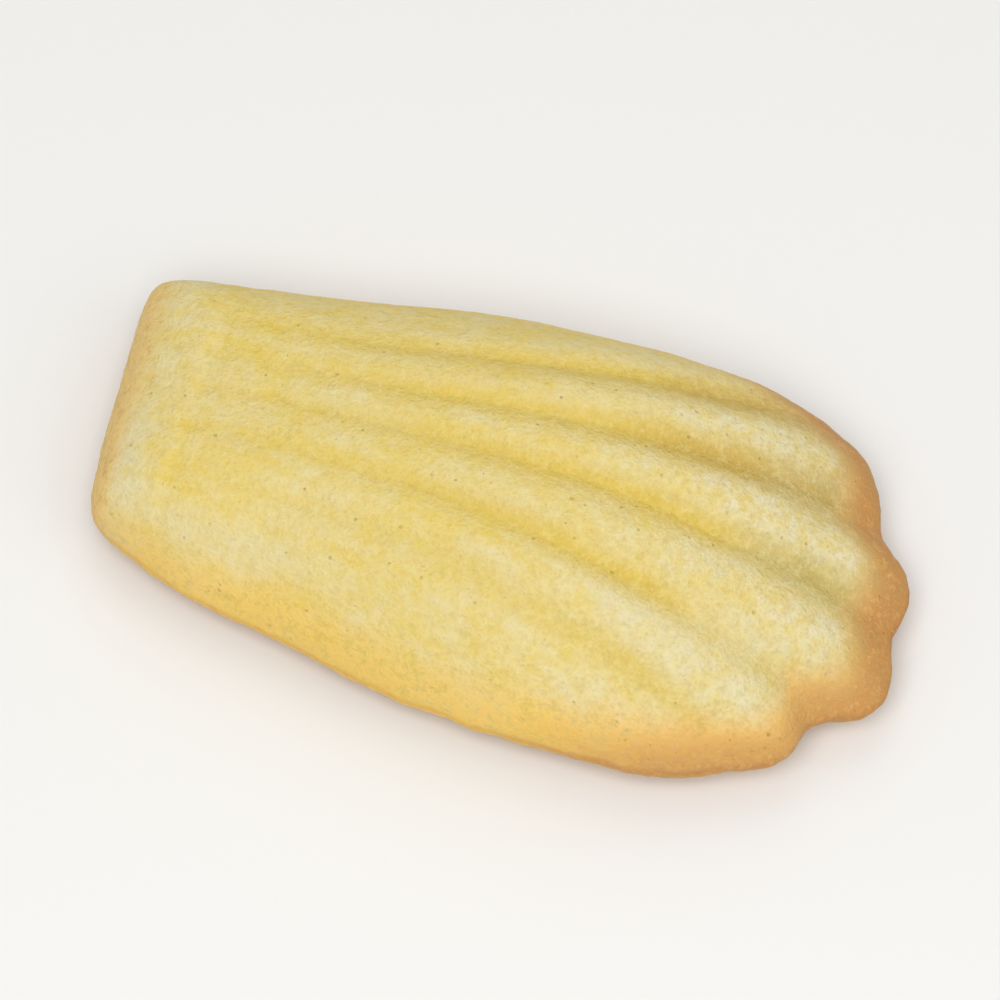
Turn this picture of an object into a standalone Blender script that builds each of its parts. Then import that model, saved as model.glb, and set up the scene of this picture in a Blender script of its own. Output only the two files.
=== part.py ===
"""Madeleine cake: one solid, ribbed shell side up, lying on the flat spot of its belly.

Metres, +Z up. X runs along the cake, from the narrow end at -X to the scalloped wide end at +X.
The origin is the centre of the footprint, on the surface that the cake rests on.
"""

import math

import bmesh
import bpy

# Driving sizes of the whole cake
LENGTH = 0.0768  # before the scallops are cut in
WIDTH = 0.0423
CROWN_HEIGHT = 0.0132  # rim line to the highest rib
RIM_HEIGHT = 0.0042  # resting surface to the rim line, the widest place
BELLY_DEPTH = 0.0026  # how far the belly hangs below the edge of the underside

# Outline: a superellipse at each end, over sides that spread from the narrow end
NARROW_END_SHARE = 0.62  # width of the narrow end against the widest place
SIDES_PARALLEL_X = 0.012  # X where the sides stop spreading
WIDE_END_SQUARENESS = 3.86  # exponent along X: 2 is an ellipse, more is squarer
WIDE_END_FLATNESS = 2.0  # exponent along Y
NARROW_END_SQUARENESS = 24.0
NARROW_END_FLATNESS = 10.5

# Ribs fan out from the narrow end: valleys lie where the fan coordinate is a whole number
RIB_WIDTH_NARROW = 0.0041
RIB_SPREAD = 1.205  # how fast a rib widens, per metre, with the square of the way along the cake
RIB_DEPTH_NARROW = 0.0003
RIB_DEPTH_WIDE = 0.0013
RIBS_DEEPEN_X = (-0.030, 0.025)
VALLEY_ROUNDING = 0.16
FLANK_BEGINS = (2.3, 2.9)  # fan coordinates between which the ribs run out into the smooth flank

# Scallops of the wide end's rim, deepest on the centre line
SCALLOP_DEPTH = 0.00105
SCALLOP_SPREAD = 1.95
SCALLOP_ROUNDING = 0.05
SCALLOPS_DEEPEN_X = (0.0, 0.012)

# Lobes that the batter filled unevenly: (fan coordinate, spread, how far the rim stands out)
UNEVEN_LOBES = ((1.2, 0.52, -0.00224), (-0.64, 0.32, 0.0016), (-1.22, 0.23, -0.00166))

# Narrow end that was baked a little askew, and a side that swelled near it
END_SKEW = 0.11  # how far the end stands out, against the way across from where the skew begins
END_SKEW_FROM_Y = -0.0118
END_SKEW_X = (-0.038, -0.028)  # from the full skew to none
SWOLLEN_SIDE = (-0.0291, 0.005, 0.063)  # (X of its middle, spread, share of the half width)

# Smooth hinge band at the narrow end, a little higher than the ribs that start at it
HINGE_LENGTH = 0.0065
HINGE_STEP = 0.00035
HINGE_BLEND = 0.0016

# Spine: the line that the rings of the mesh close on
SPINE_NARROW_X = -0.024
SPINE_WIDE_X = 0.016
WIDE_END_TURN = 0.28  # share of the half outline whose rings close on the spine's wide end
NARROW_END_TURN = 0.86  # share from where they close on its narrow end

# Dome, over the share of the way from the spine to the rim
CROWN_X = 0.004
WIDE_END_DROP = 0.74
WIDE_END_DROP_POWER = 1.5
NARROW_END_DROP = 0.42
NARROW_END_DROP_POWER = 1.5
SHOULDER_POWER = 2.7
NARROW_SHOULDER_POWER = 5.0
NARROW_SHOULDER_X = (-0.036, -0.022)

# Underside
LIP_INSET = 0.05  # how far the lip turns in below the rim line
FLAT_SPOT_SHARE = 0.40
BELLY_POWER = 1.7

# Unevenness of the baked outline: (waves around, size, phase)
WAVES = ((3, 0.00045, 2.4), (5, 0.00018, 2.1), (11, 0.00010, 4.0))

# Mesh density
AROUND = 156
TOP_RINGS = 16
RING_CROWDING = 1.25  # above 1, the rings crowd towards the spine, where the centre valley runs
LIP_RINGS = 3
BELLY_RINGS = 4
OUTLINE_SAMPLES = 4000
WELD_DISTANCE = 1e-6

CRUST_COLOUR = (0.78, 0.60, 0.24, 1.0)
CRUST_ROUGHNESS = 0.7


def smooth_step(low, high, value):
    """0 below low, 1 above high, with an even curve between."""
    share = min(1.0, max(0.0, (value - low) / (high - low)))
    return share * share * (3.0 - 2.0 * share)


def fan_coordinate(x, y):
    """Number of ribs from the centre line: whole numbers are the valleys."""
    return y / (RIB_WIDTH_NARROW + RIB_SPREAD * (x + LENGTH / 2) ** 2)


def valley(fan, rounding):
    """1 at the bottom of a valley, falling to 0 on the ridge of a rib."""
    ridge = math.sqrt(math.sin(math.pi * fan) ** 2 + rounding**2)
    full_ridge = math.sqrt(1.0 + rounding**2)
    return (full_ridge - ridge) / (full_ridge - rounding)


def plain_outline(turn):
    """The outline without scallops, at a turn in radians from the wide end."""
    along = math.cos(turn)
    x = LENGTH / 2 * along
    wide = along > 0
    squareness = WIDE_END_SQUARENESS if wide else NARROW_END_SQUARENESS
    flatness = WIDE_END_FLATNESS if wide else NARROW_END_FLATNESS
    to_parallel = max(0.0, (SIDES_PARALLEL_X - x) / (SIDES_PARALLEL_X + LENGTH / 2))
    taper = 1 - (1 - NARROW_END_SHARE) * to_parallel**2
    half_width = WIDTH / 2 * taper * max(0.0, 1 - abs(along) ** squareness) ** (1 / flatness)
    return x, math.copysign(half_width, math.sin(turn))


def end_skew(x, y):
    """How far the narrow end stands out beyond a square one."""
    return END_SKEW * (y - END_SKEW_FROM_Y) * (1 - smooth_step(*END_SKEW_X, x))


def scalloped_outline(turn):
    """The real outline: scallops cut in towards the spine, and the baked unevenness."""
    x, y = plain_outline(turn)
    spine_x = min(SPINE_WIDE_X, max(SPINE_NARROW_X, x))
    reach = math.hypot(x - spine_x, y)
    fan = fan_coordinate(x, y)
    cut = SCALLOP_DEPTH * math.exp(-((fan / SCALLOP_SPREAD) ** 2)) * valley(fan, SCALLOP_ROUNDING)
    cut -= sum(growth * math.exp(-(((fan - lobe) / spread) ** 2)) for lobe, spread, growth in UNEVEN_LOBES)
    cut *= smooth_step(*SCALLOPS_DEEPEN_X, x)
    cut += sum(size * math.sin(n * turn + phase) for n, size, phase in WAVES)
    scale = 1 - cut / reach
    x, y = spine_x + (x - spine_x) * scale, y * scale
    if y < 0:
        middle, spread, growth = SWOLLEN_SIDE
        y *= 1 + growth * math.exp(-(((x - middle) / spread) ** 2))
    return x - end_skew(x, y), y


def even_outline():
    """AROUND points, evenly spaced along the real outline."""
    fine = [scalloped_outline(math.tau * i / OUTLINE_SAMPLES) for i in range(OUTLINE_SAMPLES + 1)]
    run = [0.0]
    for (x0, y0), (x1, y1) in zip(fine, fine[1:]):
        run.append(run[-1] + math.hypot(x1 - x0, y1 - y0))
    points = []
    at = 0
    for i in range(AROUND):
        target = run[-1] * i / AROUND
        while run[at + 1] < target:
            at += 1
        share = (target - run[at]) / (run[at + 1] - run[at])
        (x0, y0), (x1, y1) = fine[at], fine[at + 1]
        points.append((x0 + (x1 - x0) * share, y0 + (y1 - y0) * share))
    return points


def spine_point(i):
    """Where the ring through outline point i closes, on the centre line of the cake."""
    share = 1 - abs(2 * i / AROUND - 1)
    along = min(1.0, max(0.0, (share - WIDE_END_TURN) / (NARROW_END_TURN - WIDE_END_TURN)))
    return SPINE_WIDE_X + (SPINE_NARROW_X - SPINE_WIDE_X) * along


def length_profile(x):
    """Share of the crown's height that the dome reaches at x."""
    if x > CROWN_X:
        return 1 - WIDE_END_DROP * ((x - CROWN_X) / (LENGTH / 2 - CROWN_X)) ** WIDE_END_DROP_POWER
    return 1 - NARROW_END_DROP * ((CROWN_X - x) / (LENGTH / 2 + CROWN_X)) ** NARROW_END_DROP_POWER


def top_height(x, y, share, edge_x):
    """Height of the ribbed side, share being 0 on the spine and 1 on the rim line at edge_x."""
    narrow = 1 - smooth_step(*NARROW_SHOULDER_X, edge_x)
    power = SHOULDER_POWER + (NARROW_SHOULDER_POWER - SHOULDER_POWER) * narrow
    dome = math.sqrt(max(0.0, 1 - share**power))

    fan = fan_coordinate(x, y)
    hinge = 1 - smooth_step(HINGE_LENGTH, HINGE_LENGTH + HINGE_BLEND, x + end_skew(x, y) + LENGTH / 2)
    wide = smooth_step(*RIBS_DEEPEN_X, x)
    depth = RIB_DEPTH_NARROW + (RIB_DEPTH_WIDE - RIB_DEPTH_NARROW) * wide
    on_ribs = (1 - smooth_step(*FLANK_BEGINS, abs(fan))) * (1 - hinge)
    relief = HINGE_STEP * hinge - depth * valley(fan, VALLEY_ROUNDING) * on_ribs
    return RIM_HEIGHT + (CROWN_HEIGHT * length_profile(x) + relief) * dome


def lip_height(turn):
    """Height of the rounded lip, a quarter turn from the rim line in to the underside's edge."""
    return RIM_HEIGHT - (RIM_HEIGHT - BELLY_DEPTH) * math.sin(turn)


def belly_height(share):
    """Height of the underside: flat round the spine, rising to BELLY_DEPTH at its edge."""
    outwards = max(0.0, (share - FLAT_SPOT_SHARE) / (1 - LIP_INSET - FLAT_SPOT_SHARE))
    return BELLY_DEPTH * outwards**BELLY_POWER


def add_ring(shape, outline, share, height):
    """One closed ring of points, at a share of the way from the spine to the outline."""
    ring = []
    for i, (edge_x, edge_y) in enumerate(outline):
        spine_x = spine_point(i)
        x = spine_x + (edge_x - spine_x) * share
        y = edge_y * share
        ring.append(shape.verts.new((x, y, height(x, y, edge_x))))
    return ring


def add_rings(shape, outline):
    """All rings, from the top of the spine over the rim to the flat spot below it."""
    quarter = math.pi / 2
    rings = []
    for i in range(TOP_RINGS + 1):
        share = math.sin(quarter * (i / TOP_RINGS) ** RING_CROWDING)
        rings.append(add_ring(shape, outline, share, lambda x, y, ex, s=share: top_height(x, y, s, ex)))
    for i in range(1, LIP_RINGS + 1):
        turn = quarter * i / LIP_RINGS
        share = 1 - LIP_INSET * (1 - math.cos(turn))
        rings.append(add_ring(shape, outline, share, lambda x, y, ex, t=turn: lip_height(t)))
    for i in range(1, BELLY_RINGS + 1):
        share = 1 - LIP_INSET - (1 - LIP_INSET - FLAT_SPOT_SHARE) * i / BELLY_RINGS
        rings.append(add_ring(shape, outline, share, lambda x, y, ex, s=share: belly_height(s)))
    rings.append(add_ring(shape, outline, 0.0, lambda x, y, ex: 0.0))
    return rings


def centre_footprint(shape):
    """Moves the shape so that its footprint is centred on the origin."""
    xs = [v.co.x for v in shape.verts]
    ys = [v.co.y for v in shape.verts]
    middle_x = (min(xs) + max(xs)) / 2
    middle_y = (min(ys) + max(ys)) / 2
    bmesh.ops.translate(shape, verts=shape.verts, vec=(-middle_x, -middle_y, 0))


def make_cake_mesh():
    """The closed surface of the whole cake."""
    shape = bmesh.new()
    rings = add_rings(shape, even_outline())
    for upper, lower in zip(rings, rings[1:]):
        for i in range(AROUND):
            following = (i + 1) % AROUND
            shape.faces.new((upper[i], lower[i], lower[following], upper[following]))
    bmesh.ops.remove_doubles(shape, verts=shape.verts, dist=WELD_DISTANCE)
    bmesh.ops.dissolve_degenerate(shape, edges=shape.edges, dist=WELD_DISTANCE)
    bmesh.ops.triangulate(shape, faces=shape.faces)
    bmesh.ops.recalc_face_normals(shape, faces=shape.faces)
    centre_footprint(shape)
    mesh = bpy.data.meshes.new("madeleine")
    shape.to_mesh(mesh)
    shape.free()
    return mesh


def crust_material():
    """Pale golden baked crust."""
    material = bpy.data.materials.new("crust")
    material.use_nodes = True
    shader = material.node_tree.nodes["Principled BSDF"]
    shader.inputs["Base Color"].default_value = CRUST_COLOUR
    shader.inputs["Roughness"].default_value = CRUST_ROUGHNESS
    return material


def main():
    """Clears the scene and makes the cake."""
    for old in list(bpy.data.objects):
        bpy.data.objects.remove(old)
    mesh = make_cake_mesh()
    mesh.materials.append(crust_material())
    mesh.shade_smooth()
    cake = bpy.data.objects.new("madeleine", mesh)
    bpy.context.scene.collection.objects.link(cake)


main()
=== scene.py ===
"""Looks of a madeleine cake: a ribbed sponge shell with a baked crust, lying on its belly.

Metres, +Z up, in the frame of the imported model. X runs along the cake, from the narrow hinge end at -X to
the scalloped wide end at +X. The cake's form is a Geometry Nodes tree that follows the rule of its mould:
an outline, a fan of ribs, a dome over the outline and a low belly under it. A second tree roughens that form
with crumb and pores. The crust's colours come from numbers that the two trees store on the mesh.
"""

from __future__ import annotations

import dataclasses
import logging
import math
from dataclasses import dataclass
from enum import Enum
from typing import Any

import bpy
from mathutils import Matrix, Vector

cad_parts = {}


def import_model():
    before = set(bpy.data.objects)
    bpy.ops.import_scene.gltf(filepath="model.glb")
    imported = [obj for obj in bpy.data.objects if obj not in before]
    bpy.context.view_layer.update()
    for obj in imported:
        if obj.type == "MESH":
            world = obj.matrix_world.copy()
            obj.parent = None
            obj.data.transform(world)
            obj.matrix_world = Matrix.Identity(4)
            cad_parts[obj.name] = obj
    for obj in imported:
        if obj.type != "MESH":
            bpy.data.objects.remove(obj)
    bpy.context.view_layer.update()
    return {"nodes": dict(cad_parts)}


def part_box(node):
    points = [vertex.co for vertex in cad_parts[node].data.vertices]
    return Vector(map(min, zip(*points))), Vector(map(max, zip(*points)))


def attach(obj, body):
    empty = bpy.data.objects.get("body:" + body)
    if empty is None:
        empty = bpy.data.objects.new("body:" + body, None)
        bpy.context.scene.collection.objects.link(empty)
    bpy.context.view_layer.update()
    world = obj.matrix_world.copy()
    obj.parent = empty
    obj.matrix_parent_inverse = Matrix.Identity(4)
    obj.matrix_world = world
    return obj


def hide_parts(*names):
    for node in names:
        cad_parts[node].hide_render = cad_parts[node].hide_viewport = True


LOG = logging.getLogger("madeleine")
NODE = "madeleine"
BODY = "root"
MM = 0.001

Values = dict[str, Any] | None  # a node's settings, or what feeds its inputs, by name
Span = tuple[float, float]  # where a change begins and where it is complete
Ends = tuple[float, float]  # a number before a change and after it
Colour = tuple[float, ...]


class Stored(Enum):
    """Numbers that the form stores on each point of the mesh, for the relief and the crust's colours."""

    RIM_DISTANCE = "rim_distance"  # millimetres to the nearest place of the rim line
    FAN = "fan"  # ribs from the centre line
    VALLEY = "valley"  # 1 at the bottom between two ribs
    FROM_END = "from_end"  # millimetres from the narrow end, square to it
    UNDERSIDE = "underside"  # 0 on the ribbed side, 1 from the edge of the belly inwards
    PIT = "pit"  # 1 at the bottom of a pit left by a bubble


class NoiseOf(Enum):
    """What each noise is for. The value moves the noise, so that no two are alike."""

    RIB_WAVER = 3.1
    SWELLS = 1.3
    LUMPS = 4.7
    CRUMB = 9.2
    RIM_LUMPS = 6.4
    RIM_WAVES = 2.6
    PIT_EDGES = 7.7
    COARSE_GRAIN = 2.2
    MIDDLE_GRAIN = 6.1
    FINE_GRAIN = 4.3
    PATCHES = 5.5
    BLOTS = 8.1
    STREAKS = 2.9


# --------------------------------------------------------------------------------------------------
# Node trees written as arithmetic
# --------------------------------------------------------------------------------------------------


class Num:
    """A number in a node tree, which may change over the mesh. Arithmetic on it adds Math nodes."""

    def __init__(self, bench: Bench, socket: bpy.types.NodeSocket) -> None:
        """Wraps an output socket of the bench's tree."""
        self.bench = bench
        self.socket = socket

    def _math(self, operation: str, *terms: Num | float) -> Num:
        """A Math node's result.

        Args:
            operation: Blender's name of the operation.
            terms: the numbers that it works on, in order.

        Returns:
            The result.
        """
        node = self.bench.tree.nodes.new("ShaderNodeMath")
        node.operation = operation
        for socket, term in zip(node.inputs, terms):
            self.bench.plug(term, socket)
        return Num(self.bench, node.outputs[0])

    def __add__(self, other: Num | float) -> Num:
        """The sum."""
        return self._math("ADD", self, other)

    __radd__ = __add__

    def __sub__(self, other: Num | float) -> Num:
        """The difference."""
        return self._math("SUBTRACT", self, other)

    def __rsub__(self, other: float) -> Num:
        """A plain number less this one."""
        return self._math("SUBTRACT", other, self)

    def __mul__(self, other: Num | float) -> Num:
        """The product."""
        return self._math("MULTIPLY", self, other)

    __rmul__ = __mul__

    def __truediv__(self, other: Num | float) -> Num:
        """The quotient."""
        return self._math("DIVIDE", self, other)

    def __rtruediv__(self, other: float) -> Num:
        """A plain number divided by this one."""
        return self._math("DIVIDE", other, self)

    def __pow__(self, other: Num | float) -> Num:
        """This number, which isn't negative, to a power."""
        return self._math("POWER", self, other)

    def __abs__(self) -> Num:
        """The number without its sign."""
        return self._math("ABSOLUTE", self)

    def sin(self) -> Num:
        """The sine of an angle in radians."""
        return self._math("SINE", self)

    def cos(self) -> Num:
        """The cosine of an angle in radians."""
        return self._math("COSINE", self)

    def exp(self) -> Num:
        """The exponential."""
        return self._math("EXPONENT", self)

    def sign(self) -> Num:
        """-1, 0 or 1."""
        return self._math("SIGN", self)

    def above(self, limit: Num | float) -> Num:
        """1 where the number is above a limit, else 0."""
        return self._math("GREATER_THAN", self, limit)

    def at_least(self, low: Num | float) -> Num:
        """The larger of the two."""
        return self._math("MAXIMUM", self, low)

    def at_most(self, high: Num | float) -> Num:
        """The smaller of the two."""
        return self._math("MINIMUM", self, high)

    def clamped(self) -> Num:
        """The number kept from 0 to 1."""
        return self.at_least(0.0).at_most(1.0)

    def squared(self) -> Num:
        """The number times itself."""
        return self * self

    def root(self) -> Num:
        """The square root, 0 for what is below 0."""
        return self._math("SQRT", self.at_least(0.0))

    def rise(self, low: Num | float, high: Num | float) -> Num:
        """0 below low, 1 above high, with an even curve between.

        Args:
            low: where the rise begins.
            high: where it ends.

        Returns:
            A number from 0 to 1.
        """
        node = self.bench.node(
            "ShaderNodeMapRange",
            {"interpolation_type": "SMOOTHSTEP"},
            {"Value": self, "From Min": low, "From Max": high, "To Min": 0.0, "To Max": 1.0},
        )
        return Num(self.bench, node.outputs["Result"])

    def fall(self, low: Num | float, high: Num | float) -> Num:
        """1 below low, 0 above high, with an even curve between."""
        return 1.0 - self.rise(low, high)

    def blend(self, low: Num | float, high: Num | float) -> Num:
        """The number that lies this share of the way between two others.

        Args:
            low: the number at a share of 0.
            high: the number at a share of 1.

        Returns:
            The number between them.
        """
        if isinstance(low, Num):
            return low + (high - low) * self
        return (high - low) * self + low


class Bench:
    """Adds nodes to one tree and wires them up."""

    NOISE_ROUGHNESS = 0.55
    NOISE_SPREAD = 3.0  # stretches a noise, which rarely gets near 0 or 1, to about -1 to 1

    def __init__(self, tree: bpy.types.NodeTree) -> None:
        """Works on a tree."""
        self.tree = tree

    def plug(self, term: Any, socket: bpy.types.NodeSocket) -> None:
        """Feeds a socket.

        Args:
            term: a Num or another node's output to link, or a plain value to set.
            socket: the input that takes it.
        """
        if isinstance(term, Num):
            self.tree.links.new(term.socket, socket)
        elif isinstance(term, bpy.types.NodeSocket):
            self.tree.links.new(term, socket)
        else:
            socket.default_value = term

    def node(self, kind: str, settings: Values = None, inputs: Values = None) -> bpy.types.Node:
        """A new node.

        Args:
            kind: Blender's type name.
            settings: its properties.
            inputs: what feeds its inputs, by their names.

        Returns:
            The node.
        """
        node = self.tree.nodes.new(kind)
        for name, value in (settings or {}).items():
            setattr(node, name, value)
        for name, value in (inputs or {}).items():
            self.plug(value, open_socket(node.inputs, name))
        return node

    def out(
        self, kind: str, settings: Values = None, inputs: Values = None, output: str = ""
    ) -> bpy.types.NodeSocket:
        """One output of a new node: the named one, or the first that is in use."""
        return open_socket(self.node(kind, settings, inputs).outputs, output)

    def num(self, kind: str, settings: Values = None, inputs: Values = None, output: str = "") -> Num:
        """One output of a new node, as a number."""
        return Num(self, self.out(kind, settings, inputs, output))

    def axis(self, vector: bpy.types.NodeSocket, axis: str) -> Num:
        """The X, Y or Z of a vector."""
        return self.num("ShaderNodeSeparateXYZ", None, {"Vector": vector}, axis)

    def vector(self, x: Num | float, y: Num | float, z: Num | float) -> bpy.types.NodeSocket:
        """A vector of three numbers."""
        return self.out("ShaderNodeCombineXYZ", None, {"X": x, "Y": y, "Z": z})

    def noise(
        self, place: bpy.types.NodeSocket, size: Num | float, what: NoiseOf, detail: float = 1.0
    ) -> Num:
        """Soft noise from about -1 to 1.

        Args:
            place: where it is read, in metres.
            size: how wide its patches are, in metres.
            what: what the noise is for.
            detail: how many finer layers it has.

        Returns:
            The noise.
        """
        moved = self.out("ShaderNodeVectorMath", {"operation": "ADD"}, {"Vector": place}, "Vector")
        moved.node.inputs[1].default_value = (what.value, what.value * 0.7, -what.value)
        raw = self.num(
            "ShaderNodeTexNoise",
            None,
            {"Vector": moved, "Scale": 1.0 / size, "Detail": detail, "Roughness": self.NOISE_ROUGHNESS},
            "Fac",
        )
        return (raw - 0.5) * self.NOISE_SPREAD


def open_socket(sockets: Any, name: str) -> bpy.types.NodeSocket:
    """The socket in use that has this name, or with an empty name the first socket in use."""
    return next(s for s in sockets if s.enabled and name in ("", s.name))


def bell(distance: Num) -> Num:
    """1 at no distance, falling off as a bell curve."""
    return (distance.squared() * -1.0).exp()


class Program:
    """A Geometry Nodes tree whose named inputs are the fields of a sizes dataclass."""

    def __init__(self, name: str, sizes: Any) -> None:
        """Makes the tree with its inputs.

        Args:
            name: the tree's name.
            sizes: a dataclass of numbers.
        """
        self.sizes = sizes
        self.tree = bpy.data.node_groups.new(name, "GeometryNodeTree")
        self.bench = Bench(self.tree)
        face = self.tree.interface
        face.new_socket("Geometry", in_out="INPUT", socket_type="NodeSocketGeometry")
        face.new_socket("Geometry", in_out="OUTPUT", socket_type="NodeSocketGeometry")
        face.new_socket("Material", in_out="INPUT", socket_type="NodeSocketMaterial")
        self.keys: dict[str, str] = {}
        for field in dataclasses.fields(sizes):
            kind = "NodeSocketInt" if field.type == "int" else "NodeSocketFloat"
            self.keys[field.name] = face.new_socket(field.name, in_out="INPUT", socket_type=kind).identifier
        self.given = self.tree.nodes.new("NodeGroupInput")
        self.result = self.tree.nodes.new("NodeGroupOutput")

    def size(self, name: str) -> Num:
        """A size, by the dataclass field's name."""
        return Num(self.bench, self.given.outputs[name])

    def store(self, geometry: bpy.types.NodeSocket, what: Stored, value: Num) -> bpy.types.NodeSocket:
        """A number stored on each point.

        Args:
            geometry: the mesh.
            what: the name that the number goes by.
            value: the number.

        Returns:
            The mesh with the number on it.
        """
        return self.bench.out(
            "GeometryNodeStoreNamedAttribute",
            {"data_type": "FLOAT", "domain": "POINT"},
            {"Geometry": geometry, "Name": what.value, "Value": value},
        )

    def stored(self, what: Stored) -> Num:
        """A number that was stored on the points."""
        return self.bench.num(
            "GeometryNodeInputNamedAttribute", {"data_type": "FLOAT"}, {"Name": what.value}, "Attribute"
        )

    def end(self, geometry: bpy.types.NodeSocket) -> None:
        """Closes the tree: smooth shading, plain mesh, the material.

        Args:
            geometry: the finished mesh.
        """
        bench = self.bench
        smooth = bench.out("GeometryNodeSetShadeSmooth", None, {"Geometry": geometry})
        plain = bench.out("GeometryNodeRealizeInstances", None, {"Geometry": smooth})
        dressed = bench.out(
            "GeometryNodeSetMaterial", None, {"Geometry": plain, "Material": self.given.outputs["Material"]}
        )
        bench.plug(dressed, self.result.inputs[0])

    def apply(self, piece: bpy.types.Object, material: bpy.types.Material) -> None:
        """Runs the tree on an object and keeps the result as its plain mesh.

        Args:
            piece: the object, whose old mesh is thrown away.
            material: what the tree puts on the result.
        """
        modifier = piece.modifiers.new(self.tree.name, "NODES")
        modifier.node_group = self.tree
        for item in self.tree.interface.items_tree:
            if item.name == "Material":
                modifier[item.identifier] = material
        for field, key in self.keys.items():
            modifier[key] = getattr(self.sizes, field)
        graph = bpy.context.evaluated_depsgraph_get()
        mesh = bpy.data.meshes.new_from_object(piece.evaluated_get(graph), depsgraph=graph)
        old = piece.data
        piece.modifiers.remove(modifier)
        piece.data = mesh
        mesh.name = piece.name
        bpy.data.meshes.remove(old)


# --------------------------------------------------------------------------------------------------
# The cake's form
# --------------------------------------------------------------------------------------------------


@dataclass(frozen=True)
class FormSizes:
    """Sizes of the moulded shell, in metres unless a share, a power or a count of ribs is meant."""

    length: float  # before the scallops are cut in
    width: float
    crown_height: float  # rim line to the highest rib
    rim_height: float  # resting surface to the rim line
    belly_depth: float  # how far the belly hangs below the edge of the underside

    narrow_end_share: float = 0.62  # how wide the narrow end is, against the cake
    sides_parallel_x: float = 0.012  # the sides taper towards the narrow end from here
    wide_squareness: float = 3.86  # powers of the outline: the higher, the squarer its corners
    wide_flatness: float = 2.0
    narrow_squareness: float = 24.0
    narrow_flatness: float = 10.5

    rib_width_narrow: float = 0.0041
    rib_spread: float = 1.205  # ribs widen by this times the square of the metres from the narrow end
    rib_depth_narrow: float = 0.00012
    rib_depth_wide: float = 0.0013
    ribs_deepen_from_x: float = -0.030
    ribs_deepen_to_x: float = 0.025
    valley_rounding: float = 0.16
    flank_from: float = 2.3  # ribs from the centre line, where the last valley fades into the smooth flank
    flank_to: float = 2.9
    rib_waver: float = 0.05
    rib_waver_size: float = 0.016
    centre_valley_shift: float = 0.08
    centre_valley_spread: float = 0.45

    scallop_depth: float = 0.00105
    scallop_spread: float = 1.95
    scallop_rounding: float = 0.05
    scallops_from_x: float = 0.0
    scallops_to_x: float = 0.012

    end_skew: float = 0.11  # metres along for each metre across
    end_skew_from_y: float = -0.0118
    end_skew_full_x: float = -0.038
    end_skew_none_x: float = -0.028

    hinge_length: float = 0.0065
    hinge_step: float = 0.00035
    hinge_blend: float = 0.0016

    spine_narrow_x: float = -0.024  # the rings close on this stretch of the centre line
    spine_wide_x: float = 0.016
    wide_end_turn: float = 0.28  # shares of the way round one side, where the spine begins and ends
    narrow_end_turn: float = 0.86

    crown_x: float = 0.004
    wide_drop: float = 0.74  # share of the crown's height that is lost at the wide end
    wide_drop_power: float = 1.5
    narrow_drop: float = 0.42
    narrow_drop_power: float = 1.5
    shoulder_power: float = 2.7
    narrow_shoulder_power: float = 5.0
    narrow_shoulder_from_x: float = -0.036
    narrow_shoulder_to_x: float = -0.022

    lip_inset: float = 0.05  # share by which the lip turns in below the rim line
    flat_spot_share: float = 0.40  # of the way from the spine to the rim line
    belly_power: float = 1.7

    around: int = 660  # points of each ring
    rings: int = 142
    outline_points: int = 3000


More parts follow.
